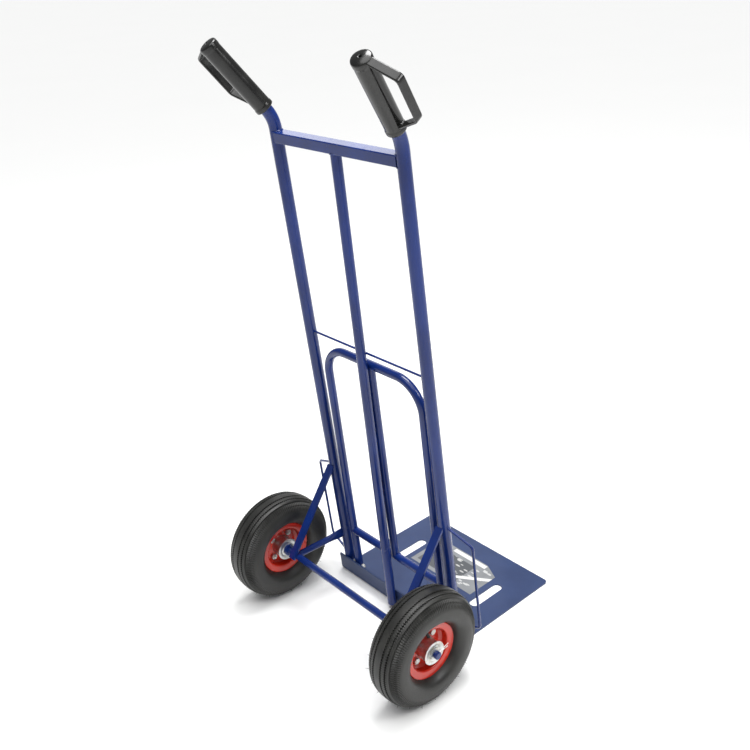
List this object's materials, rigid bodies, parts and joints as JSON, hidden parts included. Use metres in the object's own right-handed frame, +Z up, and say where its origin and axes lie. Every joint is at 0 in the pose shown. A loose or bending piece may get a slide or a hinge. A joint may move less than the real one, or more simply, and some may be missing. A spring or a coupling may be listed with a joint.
{
  "type": "hand truck",
  "caption": "Upright two-wheeled hand truck with pneumatic wheels, a flat toe plate, a folding tubular toe frame and grips with knuckle guards.",
  "frame": {"origin": "on the floor, at the middle of the footprint", "axes": "+Z up, +Y towards the load, +X to the user's right"},
  "size_m": [0.598, 0.594, 1.3095],
  "materials": {
    "blue_paint": "gloss royal blue powder coat on steel tube",
    "plate_paint": "satin grey-blue powder coat on steel sheet",
    "label_film": "blank printed film, pale grey",
    "zinc": "bright zinc-plated steel",
    "bearing_steel": "ground bearing steel",
    "grip_plastic": "black moulded plastic, semi-gloss",
    "tyre_rubber": "black pneumatic tyre rubber",
    "tube_rubber": "black butyl rubber",
    "valve_rubber": "black rubber valve stem",
    "red_paint": "gloss red paint on pressed steel"
  },
  "bodies": {
    "frame": {"upright_left": "blue_paint", "upright_right": "blue_paint", "crossbar": "blue_paint", "centre_strut": "blue_paint", "stop_rod": "blue_paint", "axle": "blue_paint", "upper_brace_left": "blue_paint", "upper_brace_right": "blue_paint", "lower_brace_left": "blue_paint", "lower_brace_right": "blue_paint", "wheel_guard_left": "blue_paint", "wheel_guard_right": "blue_paint", "toe_plate": "plate_paint", "plate_label": "label_film", "pivot_bolts": "zinc", "pivot_spacers": "zinc", "pivot_nuts": "zinc", "grip_left": "grip_plastic", "grip_right": "grip_plastic", "hub_washer_left": "zinc", "hub_washer_right": "zinc", "axle_collar_left": "blue_paint", "axle_collar_right": "blue_paint", "cotter_pin_left": "zinc", "cotter_pin_right": "zinc", "bearing_inner_rings_left": "bearing_steel", "bearing_inner_rings_right": "bearing_steel"},
    "toe_frame": {"toe_frame_loop": "blue_paint", "toe_frame_cross": "blue_paint", "toe_frame_strut": "blue_paint"},
    "wheel_left": {"tyre_left": "tyre_rubber", "inner_tube_left": "tube_rubber", "rim_outer_left": "red_paint", "rim_inner_left": "red_paint", "valve_left": "valve_rubber", "rim_bolts_left": "zinc", "rim_nuts_left": "zinc", "hub_left": "zinc", "hub_shields_left": "zinc", "bearing_outer_rings_left": "bearing_steel", "bearing_balls_left": "bearing_steel"},
    "wheel_right": {"tyre_right": "tyre_rubber", "inner_tube_right": "tube_rubber", "rim_outer_right": "red_paint", "rim_inner_right": "red_paint", "valve_right": "valve_rubber", "rim_bolts_right": "zinc", "rim_nuts_right": "zinc", "hub_right": "zinc", "hub_shields_right": "zinc", "bearing_outer_rings_right": "bearing_steel", "bearing_balls_right": "bearing_steel"}
  },
  "joints": [
    {"name": "toe_frame_fold", "type": "hinge", "parent": "frame", "child": "toe_frame", "pos_m": [0, -0.00466, 0.0299], "axis": [-1, 0, 0], "range_deg": [0, 96.9]},
    {"name": "wheel_spin_left", "type": "hinge", "parent": "frame", "child": "wheel_left", "pos_m": [-0.2525, -0.167, 0.13], "axis": [1, 0, 0], "continuous": true},
    {"name": "wheel_spin_right", "type": "hinge", "parent": "frame", "child": "wheel_right", "pos_m": [0.2525, -0.167, 0.13], "axis": [1, 0, 0], "continuous": true}
  ]
}
